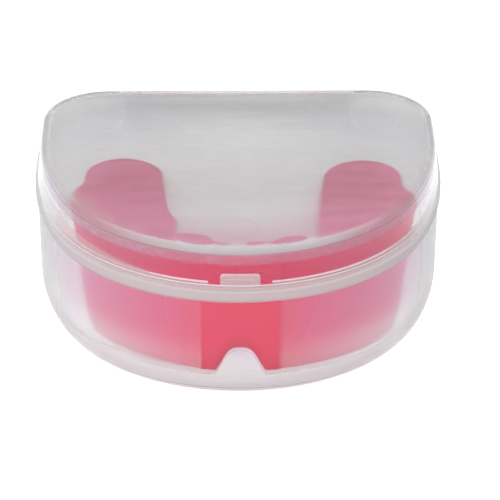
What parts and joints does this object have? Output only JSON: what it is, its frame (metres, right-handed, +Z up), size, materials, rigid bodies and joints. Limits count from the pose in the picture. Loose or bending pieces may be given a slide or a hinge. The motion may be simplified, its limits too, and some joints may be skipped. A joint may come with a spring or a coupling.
{
  "type": "mouthguard with case",
  "caption": "Frosted D-shaped snap case with a living-hinge lid and front latch tongue, holding a one-piece boil-and-bite mouthguard with a tall outer wall, bite pads and a lip notch.",
  "frame": {"origin": "centre of the closed case's bounding box, at the plane that the tray's foot ring rests on", "axes": "+Z up, the latch faces -Y, the hinge is at +Y, +X to the right of someone who faces the latch"},
  "size_m": [0.0816, 0.0728, 0.0326],
  "materials": {
    "clear_plastic": "frosted translucent polypropylene",
    "guard_plastic": "satin translucent pink EVA"
  },
  "bodies": {
    "tray": {"tray": "clear_plastic"},
    "latch_tongue": {"latch_tongue": "clear_plastic"},
    "hinge_web": {"hinge_web": "clear_plastic"},
    "lid": {"lid": "clear_plastic"},
    "mouthguard": {"mouthguard": "guard_plastic"}
  },
  "joints": [
    {"name": "web_fold", "type": "hinge", "parent": "tray", "child": "hinge_web", "pos_m": [0, 0.03598, 0.0248], "axis": [-1, 0, 0], "range_deg": [0, 90]},
    {"name": "lid_fold", "type": "hinge", "parent": "hinge_web", "child": "lid", "pos_m": [0, 0.03598, 0.0272], "axis": [-1, 0, 0], "range_deg": [0, 90]},
    {"name": "latch_flex", "type": "hinge", "parent": "tray", "child": "latch_tongue", "pos_m": [0, -0.03386, 0.024], "axis": [-1, 0, 0], "range_deg": [0, 6], "stiffness_Nm_per_rad": 0.02},
    {"name": "guard_lift", "type": "slide", "parent": "tray", "child": "mouthguard", "axis": [0, 0, 1], "range_m": [0, 0.024]}
  ],
  "couplings": [
    {"joint": "web_fold", "follows": "guard_lift", "rad_per_m": 65.44},
    {"joint": "lid_fold", "follows": "guard_lift", "rad_per_m": 65.44}
  ]
}
